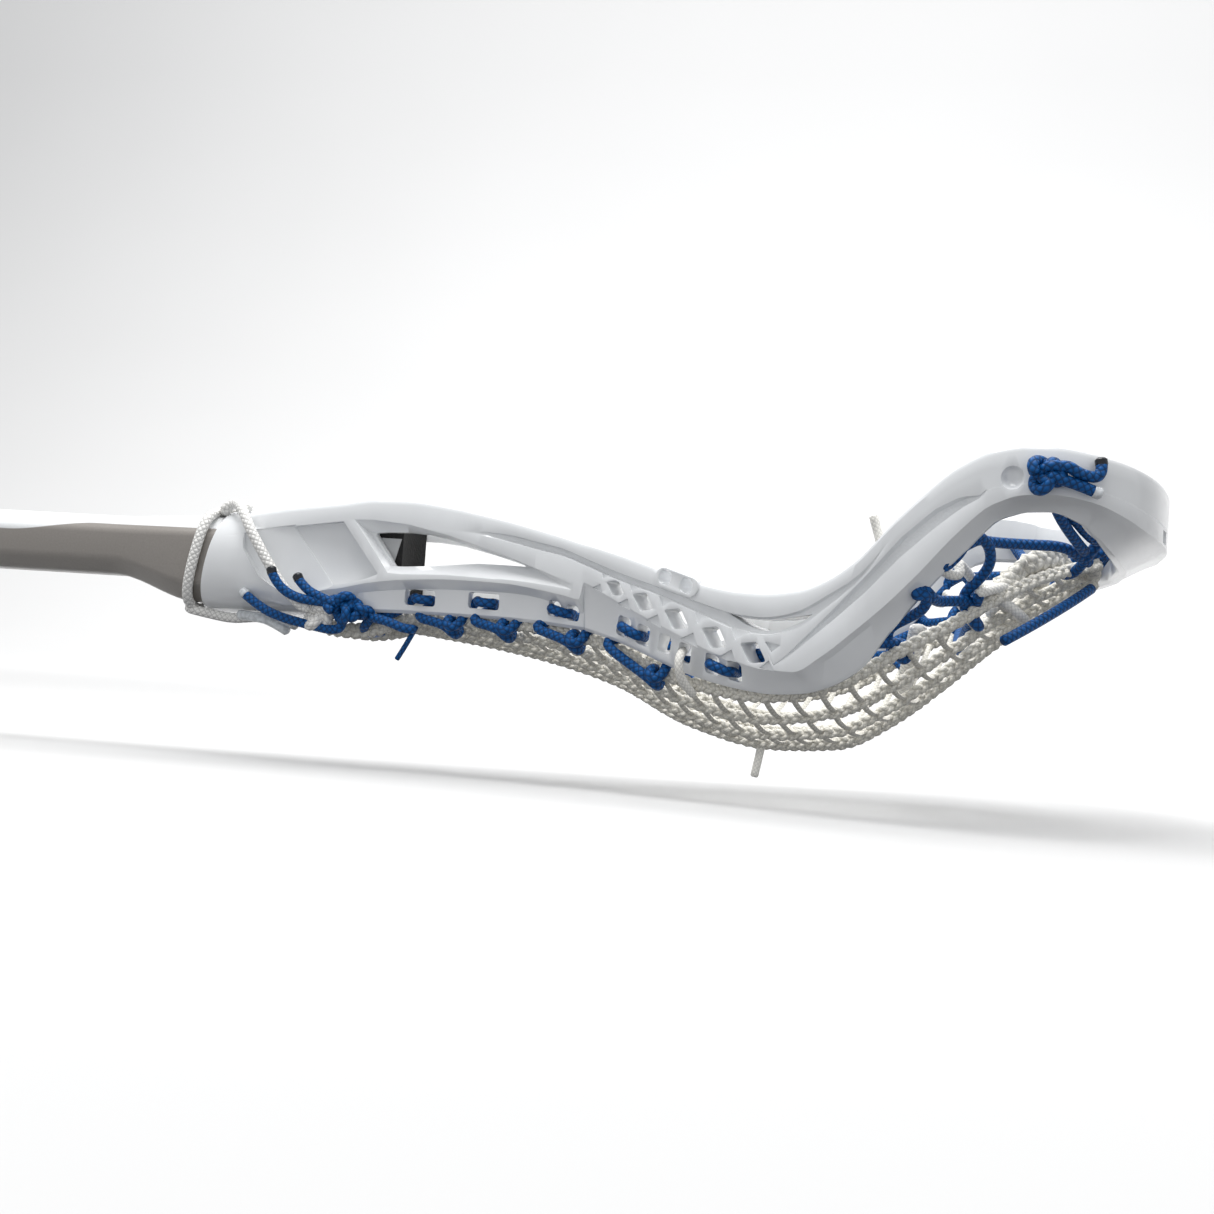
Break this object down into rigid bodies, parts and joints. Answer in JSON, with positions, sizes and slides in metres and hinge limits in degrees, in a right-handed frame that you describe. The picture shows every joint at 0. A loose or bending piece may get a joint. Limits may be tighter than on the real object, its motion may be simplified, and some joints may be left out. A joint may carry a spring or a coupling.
{
  "type": "lacrosse stick",
  "caption": "Field lacrosse stick: moulded head with a laced mesh pocket, screwed onto an octagonal shaft with a slim grip, flared end and rubber butt cap.",
  "frame": {"origin": "centre of the butt cap's end face", "axes": "+X along the shaft to the scoop, +Z towards the head's open face, the near sidewall on the -Y side"},
  "size_m": [1.0475, 0.1666, 0.0767],
  "materials": {
    "white_nylon": "moulded, glossy",
    "shaft_coating": "satin coat, grey with a white top",
    "black_foam": "matte foam",
    "white_mesh": "braided",
    "blue_cord": "braided",
    "white_cord": "braided",
    "grip_rubber": "matte",
    "zinc_steel": "zinc plated"
  },
  "bodies": {
    "stick": {"shaft": "shaft_coating", "head_frame": "white_nylon", "ball_stop": "black_foam", "mesh_pocket": "white_mesh", "sidewall_string_near": "blue_cord", "sidewall_string_far": "blue_cord", "top_string": "blue_cord", "shooting_cord_lower": "white_cord", "shooting_cord_upper": "white_cord", "blue_shooter": "blue_cord", "nylon_shooter": "white_cord", "throat_lace": "white_cord", "bottom_string": "blue_cord", "top_string_tail": "blue_cord"},
    "butt_cap": {"butt_cap": "grip_rubber"},
    "head_screw": {"head_screw": "zinc_steel"}
  },
  "joints": [
    {"name": "butt_cap_slide", "type": "slide", "parent": "stick", "child": "butt_cap", "axis": [-1, 0, 0], "range_m": [0, 0.035]},
    {"name": "head_screw_turn", "type": "hinge", "parent": "stick", "child": "head_screw", "pos_m": [0.803, 0, -0.016], "axis": [0, 0, 1], "continuous": true}
  ]
}
